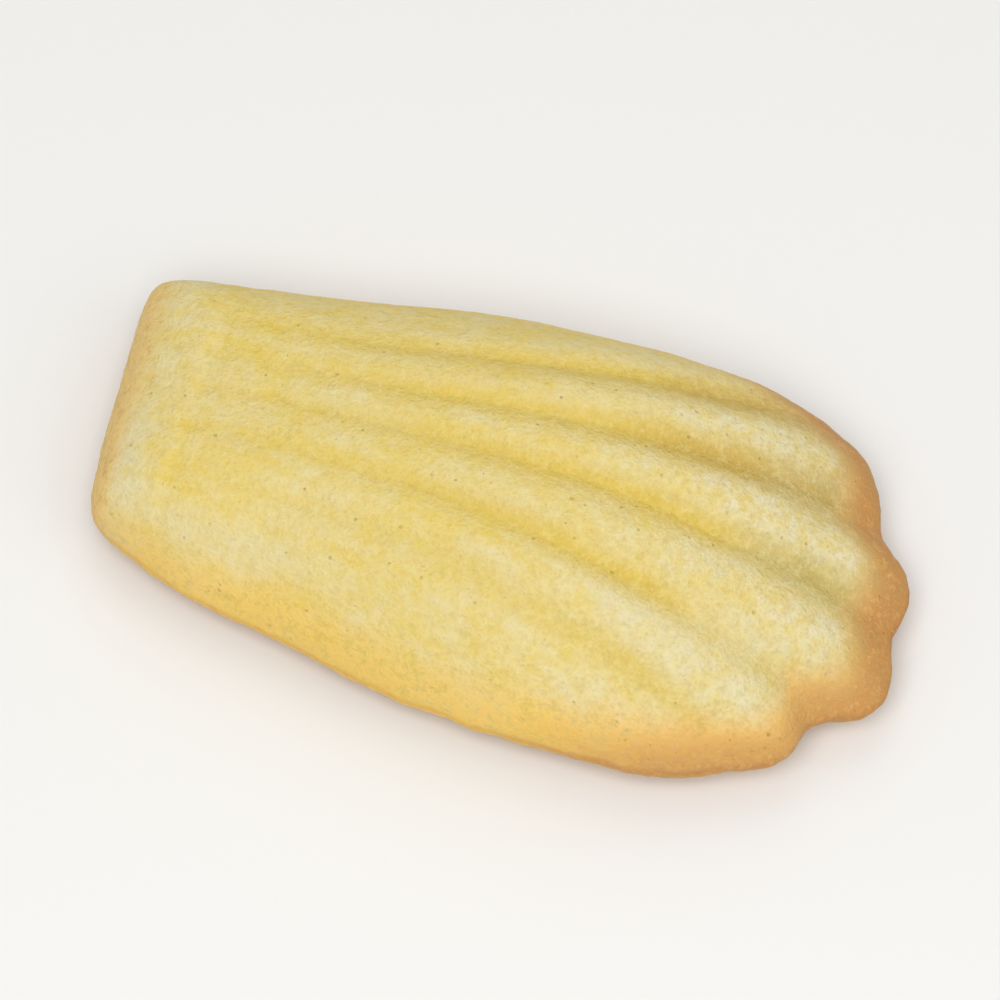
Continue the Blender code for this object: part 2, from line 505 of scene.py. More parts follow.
class ShellForm(Program):
    """The smooth form of the cake, ring by ring from the top of its spine to the flat spot below it."""

    TOP_SHARE = 0.72  # of the rings, from the spine over the ribs to the rim line
    LIP_SHARE = 0.08  # round the lip
    RING_CROWDING = 1.15
    WELD = 2e-7
    QUARTER_TURN = math.pi / 2
    WAVES = ((3, 0.00045, 2.4), (5, 0.00018, 2.1), (11, 0.00010, 4.0))  # (waves around, size, phase)
    SWOLLEN_SIDE = (-0.0291, 0.005, 0.063)  # (X of its middle, spread, share of the half width)
    UNEVEN_LOBES = (  # (fan, spread, growth)
        (1.2, 0.52, -0.00224),
        (-0.64, 0.32, 0.0016),
        (-1.22, 0.23, -0.00166),
    )

    def __init__(self, sizes: FormSizes) -> None:
        """Builds the tree."""
        super().__init__("shell_form", sizes)
        self._build()

    def fan(self, x: Num, y: Num) -> Num:
        """Ribs from the centre line: whole numbers are the valleys."""
        from_hinge = x + self.size("length") * 0.5
        return y / (self.size("rib_width_narrow") + self.size("rib_spread") * from_hinge.squared())

    def valley(self, fan: Num, rounding: Num) -> Num:
        """How deep in a valley a place is.

        Args:
            fan: ribs from the centre line.
            rounding: how wide the valley's bottom is, 0 for a sharp one.

        Returns:
            1 at the bottom of a valley, falling to 0 on the ridge of a rib.
        """
        ridge = ((fan * math.pi).sin().squared() + rounding.squared()).root()
        full = (rounding.squared() + 1.0).root()
        return (full - ridge) / (full - rounding)

    def plain_outline(self, turn: Num) -> tuple[Num, Num]:
        """The outline without scallops.

        Args:
            turn: radians from the wide end.

        Returns:
            X and Y.
        """
        half = self.size("length") * 0.5
        along = turn.cos()
        x = half * along
        wide = along.above(0.0)
        squareness = wide.blend(self.size("narrow_squareness"), self.size("wide_squareness"))
        flatness = wide.blend(self.size("narrow_flatness"), self.size("wide_flatness"))
        parallel = self.size("sides_parallel_x")
        before = ((parallel - x) / (parallel + half)).at_least(0.0)
        taper = 1.0 - (1.0 - self.size("narrow_end_share")) * before.squared()
        reach = (1.0 - abs(along) ** squareness).at_least(0.0) ** (1.0 / flatness)
        return x, self.size("width") * 0.5 * taper * reach * turn.sin().sign()

    def outline(self, turn: Num) -> tuple[Num, Num]:
        """The real outline, with what the mould and the oven did to the plain one.

        The scallops and the baked unevenness are cut in towards the spine. Then one side swells, and the
        narrow end is set askew.

        Args:
            turn: radians from the wide end.

        Returns:
            X and Y.
        """
        x, y = self.plain_outline(turn)
        fan = self.fan(x, y)
        depth = self.size("scallop_depth") * bell(fan / self.size("scallop_spread"))
        cut = depth * self.valley(fan, self.size("scallop_rounding"))
        for lobe, spread, growth in self.UNEVEN_LOBES:
            cut = cut - bell((fan - lobe) / spread) * growth
        cut = cut * x.rise(self.size("scallops_from_x"), self.size("scallops_to_x"))
        for count, size, phase in self.WAVES:
            cut = cut + (turn * count + phase).sin() * size
        hub = x.at_most(self.size("spine_wide_x")).at_least(self.size("spine_narrow_x"))
        away = x - hub
        scale = 1.0 - cut / (away.squared() + y.squared()).root()
        x, y = hub + away * scale, y * scale
        middle, spread, growth = self.SWOLLEN_SIDE
        y = y * (bell((x - middle) / spread) * (1.0 - y.above(0.0)) * growth + 1.0)
        return x - self.skew(x, y), y

    def skew(self, x: Num, y: Num) -> Num:
        """How far the narrow end stands out beyond a square one."""
        fading = x.fall(self.size("end_skew_full_x"), self.size("end_skew_none_x"))
        return self.size("end_skew") * (y - self.size("end_skew_from_y")) * fading

    def outline_curve(self) -> bpy.types.NodeSocket:
        """The outline as a curve.

        Returns:
            A closed curve, which starts at the wide end.
        """
        bench = self.bench
        points = self.given.outputs["outline_points"]
        circle = bench.out("GeometryNodeCurvePrimitiveCircle", {"mode": "RADIUS"}, {"Resolution": points})
        turn = bench.num("GeometryNodeInputIndex") * math.tau / self.size("outline_points")
        x, y = self.outline(turn)
        place = bench.vector(x, y, 0.0)
        return bench.out("GeometryNodeSetPosition", None, {"Geometry": circle, "Position": place})

    def spine(self, u: Num) -> Num:
        """Where the line down from a place of the outline meets the centre line.

        Args:
            u: the place, as a share of the way round from the wide end.

        Returns:
            X on the centre line.
        """
        share = 1.0 - abs(u * 2.0 - 1.0)
        first, last = self.size("wide_end_turn"), self.size("narrow_end_turn")
        along = ((share - first) / (last - first)).clamped()
        return along.blend(self.size("spine_wide_x"), self.size("spine_narrow_x"))

    def length_profile(self, x: Num) -> Num:
        """The dome's height along the cake.

        Args:
            x: X, in metres.

        Returns:
            A share of the crown's height.
        """
        half = self.size("length") * 0.5
        crown = self.size("crown_x")
        ahead = ((x - crown) / (half - crown)).at_least(0.0)
        behind = ((crown - x) / (half + crown)).at_least(0.0)
        wide_fall = self.size("wide_drop") * ahead ** self.size("wide_drop_power")
        narrow_fall = self.size("narrow_drop") * behind ** self.size("narrow_drop_power")
        return 1.0 - wide_fall - narrow_fall

    def dome(self, share: Num, edge_x: Num) -> Num:
        """The dome's height from the spine to the rim line.

        Args:
            share: 0 at the spine, 1 at the rim line.
            edge_x: X of the rim line there, because the narrow end has squarer shoulders.

        Returns:
            1 over the spine, falling to 0 at the rim line.
        """
        narrow = edge_x.fall(self.size("narrow_shoulder_from_x"), self.size("narrow_shoulder_to_x"))
        power = narrow.blend(self.size("shoulder_power"), self.size("narrow_shoulder_power"))
        return (1.0 - share**power).root()

    def belly_height(self, share: Num) -> Num:
        """Height of the underside over the flat spot that the cake rests on.

        Args:
            share: 0 at the spine, 1 at the rim line.

        Returns:
            The height, in metres.
        """
        flat = self.size("flat_spot_share")
        outwards = ((share - flat) / (1.0 - self.size("lip_inset") - flat)).at_least(0.0)
        return self.size("belly_depth") * outwards ** self.size("belly_power")

    def grid(self) -> tuple[bpy.types.NodeSocket, Num, Num]:
        """The flat mesh that the form bends round the cake.

        Returns:
            The mesh, the share of the way round the outline, and the share of the rings from top to bottom.
        """
        bench = self.bench
        mesh = bench.out(
            "GeometryNodeMeshGrid",
            None,
            {
                "Size X": 1.0,
                "Size Y": 1.0,
                "Vertices X": self.given.outputs["around"],
                "Vertices Y": self.given.outputs["rings"],
            },
            "Mesh",
        )
        place = bench.out("GeometryNodeInputPosition")
        return mesh, bench.axis(place, "X") + 0.5, bench.axis(place, "Y") + 0.5

    def hinge_band(self, from_end: Num) -> Num:
        """1 on the smooth raised band at the narrow end, 0 beyond it."""
        length = self.size("hinge_length")
        return from_end.fall(length, length + self.size("hinge_blend"))

    def wavering_fan(self, x: Num, y: Num) -> Num:
        """The fan as baked: its ribs waver, and the centre valley lies to one side.

        Args:
            x: X, in metres.
            y: Y, in metres.

        Returns:
            Ribs from the centre line.
        """
        waver = self.bench.noise(self.bench.vector(x, y, 0.0), self.size("rib_waver_size"), NoiseOf.RIB_WAVER)
        fan = self.fan(x, y) + waver * self.size("rib_waver")
        return fan - bell(fan / self.size("centre_valley_spread")) * self.size("centre_valley_shift")

    def rib_depth(self, x: Num) -> Num:
        """How deep the valleys are at x."""
        wide = x.rise(self.size("ribs_deepen_from_x"), self.size("ribs_deepen_to_x"))
        return wide.blend(self.size("rib_depth_narrow"), self.size("rib_depth_wide"))

    def _build(self) -> None:
        """Writes the whole tree."""
        bench = self.bench
        shape, u, v = self.grid()
        edge = bench.out(
            "GeometryNodeSampleCurve",
            {"mode": "FACTOR", "use_all_curves": True},
            {"Curves": self.outline_curve(), "Factor": u},
            "Position",
        )
        edge_x, edge_y = bench.axis(edge, "X"), bench.axis(edge, "Y")

        top_part = (v / self.TOP_SHARE).clamped() ** self.RING_CROWDING
        lip_turn = ((v - self.TOP_SHARE) / self.LIP_SHARE).clamped() * self.QUARTER_TURN
        belly_from = self.TOP_SHARE + self.LIP_SHARE
        belly_part = ((v - belly_from) / (1.0 - belly_from)).clamped()
        top_share = (top_part * self.QUARTER_TURN).sin()
        lip_share = 1.0 - self.size("lip_inset") * (1.0 - lip_turn.cos())
        share = top_share * lip_share * (1.0 - belly_part)

        spine_x = self.spine(u)
        x = spine_x + (edge_x - spine_x) * share
        y = edge_y * share
        fan = self.wavering_fan(x, y)
        from_end = x + self.skew(x, y) + self.size("length") * 0.5
        hinge = self.hinge_band(from_end)
        on_ribs = abs(fan).fall(self.size("flank_from"), self.size("flank_to")) * (1.0 - hinge)
        valley = self.valley(fan, self.size("valley_rounding")) * on_ribs
        relief = self.size("hinge_step") * hinge - self.rib_depth(x) * valley
        top = (self.size("crown_height") * self.length_profile(x) + relief) * self.dome(top_share, edge_x)
        rim, belly = self.size("rim_height"), self.size("belly_depth")
        belly_share = (1.0 - self.size("lip_inset")) * (1.0 - belly_part)
        underside = lip_turn.sin()
        z = rim + top - (rim - belly) * underside - (belly - self.belly_height(belly_share))

        to_rim = ((x - edge_x).squared() + (y - edge_y).squared() + (z - rim).squared()).root()
        for what, value in (
            (Stored.RIM_DISTANCE, to_rim / MM),
            (Stored.FAN, fan),
            (Stored.VALLEY, valley),
            (Stored.FROM_END, from_end / MM),
            (Stored.UNDERSIDE, underside),
        ):
            shape = self.store(shape, what, value)
        place = bench.vector(x, y, z)
        shape = bench.out("GeometryNodeSetPosition", None, {"Geometry": shape, "Position": place})
        shape = bench.out("GeometryNodeMergeByDistance", None, {"Geometry": shape, "Distance": self.WELD})
        # the rings were laid outwards round the outline, which leaves their faces pointing into the cake
        shape = bench.out("GeometryNodeFlipFaces", None, {"Mesh": shape})
        self.end(shape)


# --------------------------------------------------------------------------------------------------
# Crumb and pores
# --------------------------------------------------------------------------------------------------


@dataclass(frozen=True)
class CrumbSizes:
    """Sizes of the crust's relief, in metres."""

    swell_size: float = 0.011
    swell_height: float = 0.00020
    lump_size: float = 0.0030
    lump_height: float = 0.000075
    crumb_size: float = 0.0010
    crumb_height: float = 0.00004
    rim_lump_size: float = 0.0016
    rim_lump_height: float = 0.00010
    rim_wave_size: float = 0.0048
    rim_wave_height: float = 0.00022
    pit_density: float = 26000.0  # for each square metre
    pit_radius_small: float = 0.00030
    pit_radius_large: float = 0.00085
    pit_raggedness: float = 0.00016
    pit_depth: float = 0.00009
    flat_spot_height: float = 0.0002
    seed: int = 7


class CrumbRelief(Program):
    """Roughens the form: slow swells, lumps, crumb, an uneven rim and shallow pits left by bubbles."""

    RIM_ZONE: Span = (0.2, 2.4)  # millimetres from the rim line, over which its own unevenness fades
    PIT_WALL: Span = (0.2, 1.0)  # shares of a pit's radius, from its floor to its edge
    RADIUS_SEED = 3

    def __init__(self, sizes: CrumbSizes) -> None:
        """Builds the tree."""
        super().__init__("crumb_relief", sizes)
        self._build()

    def pit(self, shape: bpy.types.NodeSocket, place: bpy.types.NodeSocket) -> Num:
        """1 at the middle of a scattered pit, falling to 0 at its ragged edge.

        Args:
            shape: the mesh that carries the pits.
            place: the position of a point of it.

        Returns:
            The pit's depth as a share.
        """
        bench = self.bench
        points = bench.out(
            "GeometryNodeDistributePointsOnFaces",
            {"distribute_method": "RANDOM"},
            {"Mesh": shape, "Density": self.size("pit_density"), "Seed": self.given.outputs["seed"]},
            "Points",
        )
        nearest = bench.out(
            "GeometryNodeSampleNearest", {"domain": "POINT"}, {"Geometry": points, "Sample Position": place}
        )
        centre = bench.out(
            "GeometryNodeSampleIndex",
            {"data_type": "FLOAT_VECTOR", "domain": "POINT"},
            {"Geometry": points, "Value": bench.out("GeometryNodeInputPosition"), "Index": nearest},
        )
        luck = bench.num(
            "FunctionNodeRandomValue",
            {"data_type": "FLOAT"},
            {"Min": 0.0, "Max": 1.0, "ID": nearest, "Seed": self.RADIUS_SEED},
        )
        # few pits are large
        radius = luck.squared().squared().blend(self.size("pit_radius_small"), self.size("pit_radius_large"))
        away = bench.out("ShaderNodeVectorMath", {"operation": "DISTANCE"}, {"Vector": place}, "Value")
        bench.plug(centre, away.node.inputs[1])
        ragged = bench.noise(place, self.size("crumb_size"), NoiseOf.PIT_EDGES) * self.size("pit_raggedness")
        return ((Num(bench, away) + ragged) / radius).fall(*self.PIT_WALL)

    def layer(self, place: bpy.types.NodeSocket, part: str, what: NoiseOf, detail: float = 1.0) -> Num:
        """One layer of the relief: noise of a part's size, times its height."""
        return self.bench.noise(place, self.size(f"{part}_size"), what, detail) * self.size(f"{part}_height")

    def _build(self) -> None:
        """Writes the whole tree."""
        bench = self.bench
        shape = self.given.outputs["Geometry"]
        place = bench.out("GeometryNodeInputPosition")
        normal = bench.out("GeometryNodeInputNormal")
        near_rim = self.stored(Stored.RIM_DISTANCE).fall(*self.RIM_ZONE)
        pit = self.pit(shape, place)
        sunk = (
            self.layer(place, "swell", NoiseOf.SWELLS)
            + self.layer(place, "lump", NoiseOf.LUMPS, detail=2.0)
            + self.layer(place, "crumb", NoiseOf.CRUMB, detail=2.0)
            + self.layer(place, "rim_lump", NoiseOf.RIM_LUMPS) * near_rim
            + self.layer(place, "rim_wave", NoiseOf.RIM_WAVES) * near_rim
            + pit * self.size("pit_depth")
        )
        resting = bench.axis(place, "Z").fall(0.0, self.size("flat_spot_height"))
        sunk = sunk * (1.0 - resting)
        offset = bench.out(
            "ShaderNodeVectorMath", {"operation": "SCALE"}, {"Vector": normal, "Scale": sunk * -1.0}, "Vector"
        )
        shape = self.store(shape, Stored.PIT, pit)
        shape = bench.out("GeometryNodeSetPosition", None, {"Geometry": shape, "Offset": offset})
        self.end(shape)


# --------------------------------------------------------------------------------------------------
# Finishes
# --------------------------------------------------------------------------------------------------


def linear(level: int) -> float:
    """One channel of a display colour, 0 to 255, as a linear share."""
    share = level / 255
    return share / 12.92 if share <= 0.04045 else ((share + 0.055) / 1.055) ** 2.4


def paint(red: int, green: int, blue: int) -> Colour:
    """A display colour, 0 to 255 for each channel, as the linear colour that shaders take."""
    return linear(red), linear(green), linear(blue), 1.0


def mix(bench: Bench, share: Num | float, first: Any, second: Any) -> bpy.types.NodeSocket:
    """A colour between two, each a colour or a socket: the first at a share of 0, the second at 1."""
    values = {"Factor": share, "A": first, "B": second}
    return bench.out("ShaderNodeMix", {"data_type": "RGBA"}, values, "Result")


class ShaderGroup:
    """A shader node group with named inputs and outputs, built once and placed with its own values."""

    def __init__(self, name: str, inputs: dict[str, float | None], outputs: tuple[str, ...]) -> None:
        """Makes the group's sockets.

        Args:
            name: the group's name.
            inputs: each input's first value, or None for a vector.
            outputs: the names of the numbers that it puts out.
        """
        self.tree = bpy.data.node_groups.new(name, "ShaderNodeTree")
        self.bench = Bench(self.tree)
        for label, value in inputs.items():
            kind = "NodeSocketVector" if value is None else "NodeSocketFloat"
            socket = self.tree.interface.new_socket(label, in_out="INPUT", socket_type=kind)
            if value is not None:
                socket.default_value = value
        for label in outputs:
            self.tree.interface.new_socket(label, in_out="OUTPUT", socket_type="NodeSocketFloat")
        self.given = self.tree.nodes.new("NodeGroupInput")
        self.result = self.tree.nodes.new("NodeGroupOutput")

    def read(self, label: str) -> Num:
        """A number that comes in."""
        return Num(self.bench, self.given.outputs[label])

    def put(self, label: str, value: Num) -> None:
        """A number that goes out."""
        self.bench.plug(value, self.result.inputs[label])

    def place(self, bench: Bench, **values: Any) -> bpy.types.Node:
        """Puts the group in a material's tree.

        Args:
            bench: the material's tree.
            values: what this use feeds its inputs, by their names in small letters with underscores.

        Returns:
            The group's node.
        """
        node = bench.tree.nodes.new("ShaderNodeGroup")
        node.node_tree = self.tree
        for label, value in values.items():
            bench.plug(value, node.inputs[label.replace("_", " ").title()])
        return node


class FineCrumb(ShaderGroup):
    """Fine crumb of a baked crust.

    Grain is about -1 to 1, Pin is 1 in a pin pore, and Height is 0 to 1, for a bump.
    """

    MIDDLE_SIZE = 0.45  # sizes of the finer grains, against the coarse one
    FINE_SIZE = 0.2
    WEIGHTS = (0.75, 0.70, 0.32)  # coarse, middle, fine
    PIN_RAGGEDNESS = 0.08
    PIN_WIDTH = 0.5  # a pore's widest radius against the space between pores
    PIN_FLOOR = 0.3  # the floor's radius against the pore's
    PIN_EDGE = 0.02
    PIN_SMALLEST = 0.03
    GRAIN_HEIGHT = 0.3
    PIN_DEPTH = 0.5

    def __init__(self) -> None:
        """Builds the group."""
        sizes = {"Grain Size": 0.0008, "Pin Size": 0.001, "Pin Share": 0.4}
        super().__init__("fine_crumb", {"Place": None, **sizes}, ("Height", "Grain", "Pin"))
        self._build()

    def _build(self) -> None:
        """Writes the whole group."""
        bench = self.bench
        place = self.given.outputs["Place"]
        size = self.read("Grain Size")
        coarse = bench.noise(place, size, NoiseOf.COARSE_GRAIN)
        middle = bench.noise(place, size * self.MIDDLE_SIZE, NoiseOf.MIDDLE_GRAIN)
        fine = bench.noise(place, size * self.FINE_SIZE, NoiseOf.FINE_GRAIN)
        coarse_weight, middle_weight, fine_weight = self.WEIGHTS
        grain = coarse * coarse_weight + middle * middle_weight + fine * fine_weight
        scale = 1.0 / self.read("Pin Size")
        cells = bench.node("ShaderNodeTexVoronoi", {"feature": "F1"}, {"Vector": place, "Scale": scale})
        luck = self.read("Pin Share") - bench.axis(cells.outputs["Color"], "X")
        radius = luck.at_least(0.0) * self.PIN_WIDTH
        distance = Num(bench, cells.outputs["Distance"]) + middle * self.PIN_RAGGEDNESS
        pin = distance.fall(radius * self.PIN_FLOOR, radius + self.PIN_EDGE) * luck.above(self.PIN_SMALLEST)
        self.put("Grain", grain)
        self.put("Pin", pin)
        self.put("Height", (grain * self.GRAIN_HEIGHT + 0.5) - pin * self.PIN_DEPTH)


@dataclass(frozen=True)
class Spot:
    """A point of the crust: where it is on the cake, and what the noises are there."""

    along: Num  # metres from the middle of the form, towards the wide end
    across: Num  # metres from the centre line
    rim: Num  # millimetres from the rim line
    from_end: Num  # millimetres from the narrow end
    fan: Num  # ribs from the centre line
    valley: Num  # 1 at the bottom between two ribs
    underside: Num  # 1 on the underside
    pit: Num  # 1 at the bottom of a pit
    patches: Num  # noise in wide patches
    blots: Num  # noise in small patches
    streaks: Num  # noise drawn out along the ribs
    grain: Num  # noise of the crumb
    pin: Num  # 1 in a pin pore
    crumb: Num  # height of the crumb, for a bump

    def sum_of(self, **weights: Num | float) -> Num:
        """Some of these numbers added up.

        Args:
            weights: how much each one counts, by its name.

        Returns:
            The sum.
        """
        total, *others = [getattr(self, name) * weight for name, weight in weights.items()]
        for other in others:
            total = total + other
        return total


class Coat:
    """The crust's colour as it is built up, one colour over another."""

    def __init__(self, bench: Bench, ground: Any) -> None:
        """Starts from a ground colour."""
        self.bench = bench
        self.colour = ground

    def brush(self, share: Num, colour: Any) -> None:
        """Puts another colour over a share of what is there."""
        self.colour = mix(self.bench, share.clamped(), self.colour, colour)


@dataclass(frozen=True)
class CrustFinish:
    """Baked sponge crust: mottled yellow and cream, deeper yellow with painted shade between the ribs,
    toasted along the rim.

    A Span is in the unit of what it is read on: metres along and across the cake, millimetres from the
    rim line and from the narrow end, ribs over the fan, and shares for the rest. Ends are shares, but for
    the reaches.
    """

    yellow: Colour = paint(229, 203, 104)
    cream: Colour = paint(229, 217, 168)
    deep: Colour = paint(222, 192, 78)
    khaki: Colour = paint(196, 176, 100)
    gold: Colour = paint(247, 205, 98)
    tan: Colour = paint(237, 190, 106)
    honey: Colour = paint(238, 203, 124)
    umber: Colour = paint(212, 178, 108)
    brown: Colour = paint(202, 145, 78)
    dark: Colour = paint(158, 98, 50)
    fleck: Colour = paint(247, 236, 182)
    shade: Colour = paint(184, 149, 78)
    bloom: Colour = paint(234, 224, 196)

    form_origin_x: float = 0.0012  # middle of the plain outline, before the narrow end is set askew
    grain_size: float = 0.0008
    pin_size: float = 0.0011
    pin_share: float = 0.35
    patch_size: float = 0.0055
    blot_size: float = 0.0017
    streak_size: float = 0.0019
    streak_length: float = 0.26  # a metre along the cake counts as this much in the streaks
    streak_rib: float = 0.0050  # and a rib's width as this many metres

    paleness: Ends = (0.34, 0.74)  # how far from yellow to cream, in the narrow half and in the wide one
    blots_in_paleness: Ends = (0.32, 0.46)  # in the same two halves
    band_paleness_and_highlight: float = 0.30
    band_thinning: float = 0.9
    hinge_paleness_and_highlight: float = 0.24
    valley_stain_and_shade: Ends = (0.26, 0.88)  # from the narrow end of a valley to its wide end
    low_valleys_loss: float = 0.8
    outer_valleys_loss: float = 0.55
    shaded_valleys: float = 0.50
    outer_streak: float = 0.50
    crest_bloom: Ends = (0.45, 0.9)  # on the lower ribs and on the upper ones
    even_bloom: float = 0.04
    dark_speckle: float = 0.46
    pale_speckle: float = 0.38
    crumb_contrast: Ends = (0.75, 1.25)  # in the narrow half and in the wide one
    toast_smooths: float = 0.6
    pale_crumb: float = 0.28
    shaded_crumb: float = 0.22

    side_browning_reach: Ends = (6.0, 7.2)  # millimetres from the rim line, from the narrow end on
    corner_browning_reach: Ends = (5.9, 4.8)
    plus_y_browning_reach: float = 5.9
    side_browning: float = 0.36
    wide_browning: Ends = (0.76, 1.06)  # on the low side and on the +Y one
    rim_line_browning_and_shadow: float = 0.26
    end_browning_reach: Ends = (3.7, 4.9)  # millimetres from the narrow end, from the low corner on
    end_browning: Ends = (0.50, 0.46)
    belly_browning: float = 0.72
    belly_edge_browning: float = 0.2

    wide_half: Span = (-0.006, 0.024)
    valleys_strengthen: Span = (-0.036, 0.012)
    valleys_turn_khaki: Span = (0.018, 0.029)
    low_valleys_end: Span = (0.014, 0.024)
    shaded_valleys_along: Span = (0.004, 0.018)
    outer_streak_along: Span = (0.006, 0.016)
    crests_along: Span = (0.008, 0.024)
    gold_ends: Span = (0.006, 0.024)
    pale_band_thins: Span = (-0.022, -0.016)
    wide_end: Span = (0.0, 0.026)
    side_browning_grows: Span = (-0.028, -0.014)

    plus_y_side: Span = (-0.016, 0.002)
    low_side: Span = (-0.006, -0.002)
    low_corner: Span = (-0.0185, -0.0130)
    end_corner: Span = (-0.012, 0.0)
    end_across: Span = (-0.012, 0.012)

    pale_band_begins: Span = (4.6, 6.6)
    pale_band_ends: Span = (8.0, 11.0)
    rim_line: Span = (0.0, 1.1)
    belly_edge: Span = (0.0, 6.0)
    hinge_band: Span = (3.9, 7.9)
    honey_band: Span = (2.0, 6.0)
    end_browning_from: float = 1.0

    low_flank: Span = (-1.6, -0.8)
    upper_valleys: Span = (0.4, 0.8)
    upper_crests: Span = (-0.8, 0.6)
    outer_valleys: Span = (0.9, 1.8)
    outer_streak_fan: float = -1.93
    outer_streak_spread: float = 0.17

    off_ridge: Span = (0.0, 0.4)
    toast_hides_bloom: Span = (0.1, 0.5)
    warm_toast: Span = (0.0, 0.55)
    brown_toast: Span = (0.35, 1.0)
    dark_toast: Span = (1.05, 1.55)
    underside_begins: Span = (0.25, 1.0)
    browning_power: float = 3.1  # how sharply the browning ends

    roughness: float = 0.64
    specular: float = 0.3
    subsurface: float = 0.2
    subsurface_depth: float = 0.0012
    subsurface_colours: Colour = (1.0, 0.55, 0.22)
    bump_strength: float = 0.9
    bump_height: float = 0.00023

    def build(self) -> bpy.types.Material:
        """The crust's material.

        Returns:
            The material.
        """
        material = bpy.data.materials.new("baked_crust")
        material.use_nodes = True
        bench = Bench(material.node_tree)
        shader = material.node_tree.nodes["Principled BSDF"]
        spot = self.spot(bench)
        toast = self.toast(spot)
        coat = Coat(bench, self.yellow)
        coat.brush(self.creaminess(spot), self.cream)
        self.stain_and_shade_valleys(coat, spot)
        self.dust_crests(coat, spot, toast)
        self.brown_rim(coat, spot, toast)
        self.speck_crumb(coat, spot, toast)
        bench.plug(coat.colour, shader.inputs["Base Color"])
        bench.plug(spot.sum_of(grain=0.05, pin=0.1) + self.roughness, shader.inputs["Roughness"])
        shader.inputs["Subsurface Weight"].default_value = self.subsurface
        shader.inputs["Subsurface Radius"].default_value = self.subsurface_colours
        shader.inputs["Subsurface Scale"].default_value = self.subsurface_depth
        shader.inputs["Specular IOR Level"].default_value = self.specular
        bump = bench.out(
            "ShaderNodeBump",
            None,
            {"Strength": self.bump_strength, "Distance": self.bump_height, "Height": spot.crumb},
            "Normal",
        )
        bench.plug(bump, shader.inputs["Normal"])
        return material

    def spot(self, bench: Bench) -> Spot:
        """Reads where a point is, and makes the noises.

        Args:
            bench: the material's tree.

        Returns:
            What the crust's colours depend on.
        """
        place = bench.out("ShaderNodeTexCoord", None, None, "Object")
        stored = {
            what: bench.num("ShaderNodeAttribute", {"attribute_name": what.value}, None, "Fac")
            for what in Stored
        }
        along = bench.axis(place, "X") - self.form_origin_x
        crumb = FineCrumb().place(
            bench, place=place, grain_size=self.grain_size, pin_size=self.pin_size, pin_share=self.pin_share
        )
        on_ribs = bench.vector(along * self.streak_length, stored[Stored.FAN] * self.streak_rib, 0.0)
        return Spot(
            along=along,
            across=bench.axis(place, "Y"),
            rim=stored[Stored.RIM_DISTANCE],
            from_end=stored[Stored.FROM_END],
            fan=stored[Stored.FAN],
            valley=stored[Stored.VALLEY],
            underside=stored[Stored.UNDERSIDE],
            pit=stored[Stored.PIT],
            patches=bench.noise(place, self.patch_size, NoiseOf.PATCHES, detail=2.0),
            blots=bench.noise(place, self.blot_size, NoiseOf.BLOTS, detail=2.0),
            streaks=bench.noise(on_ribs, self.streak_size, NoiseOf.STREAKS, detail=2.0),
            grain=Num(bench, crumb.outputs["Grain"]),
            pin=Num(bench, crumb.outputs["Pin"]),
            crumb=Num(bench, crumb.outputs["Height"]),
        )

    def creaminess(self, spot: Spot) -> Num:
        """How far the sponge turns from yellow to cream; its pale bands are partly a painted highlight.

        Args:
            spot: the point of the crust.

        Returns:
            0 for yellow and 1 for cream, or beyond.
        """
        wide = spot.along.rise(*self.wide_half)
        hinge = spot.from_end.fall(*self.hinge_band)
        band = spot.rim.rise(*self.pale_band_begins) * spot.rim.fall(*self.pale_band_ends)
        thinning = 1.0 - spot.along.rise(*self.pale_band_thins) * self.band_thinning
        band = band * spot.fan.fall(*self.low_flank) * thinning
        blots = wide.blend(*self.blots_in_paleness)
        mottle = spot.sum_of(patches=0.26, streaks=0.36, blots=blots, grain=0.06)
        # the pale band on the low flank and the hinge band: partly paler crust, partly a painted highlight on
        # their shoulders
        return wide.blend(*self.paleness) + (band * self.band_paleness_and_highlight + hinge * self.hinge_paleness_and_highlight) + mottle

    def stain_and_shade_valleys(self, coat: Coat, spot: Spot) -> None:
        """Deepens the yellow between the ribs, with a khaki end, partly as painted shade in the valleys, and
        lays a streak beside the lowest rib.

        Args:
            coat: the colour so far.
            spot: the point of the crust.
        """
        # valleys: the crust's deeper yellow and painted shade in the creases between the ribs
        stain_and_shade = (spot.valley * (1.0 + spot.sum_of(streaks=0.6, blots=0.4))).clamped() * self.stain_and_shade_share(spot)
        near_end = spot.along.rise(*self.valleys_turn_khaki)
        coat.brush(stain_and_shade * (1.0 - near_end), self.deep)
        coat.brush(stain_and_shade * near_end, self.khaki)
        # upper valleys towards the wide end: painted shadow, partly browner crust
        upper_valley = spot.valley * spot.fan.rise(*self.upper_valleys)
        shaded = upper_valley * spot.along.rise(*self.shaded_valleys_along)
        coat.brush(shaded * self.shaded_valleys, self.shade)
        streak = bell((spot.fan - self.outer_streak_fan) / self.outer_streak_spread)
        streak = streak * spot.along.rise(*self.outer_streak_along)
        streak = streak * (1.0 + spot.sum_of(blots=0.4, streaks=0.4))
        coat.brush(streak * self.outer_streak, self.deep)

    def stain_and_shade_share(self, spot: Spot) -> Num:
        """How deep the yellow and the painted shade of a valley get.

        Args:
            spot: the point of the crust.

        Returns:
            A share that rises towards the wide end and fades where the outer valleys run out.
        """
        growing = spot.along.rise(*self.valleys_strengthen).blend(*self.valley_stain_and_shade)
        running_out = spot.along.rise(*self.low_valleys_end) * spot.across.fall(*self.low_side)
        outer = (spot.fan * -1.0).rise(*self.outer_valleys)
        return growing * (1.0 - running_out * self.low_valleys_loss) * (1.0 - outer * self.outer_valleys_loss)

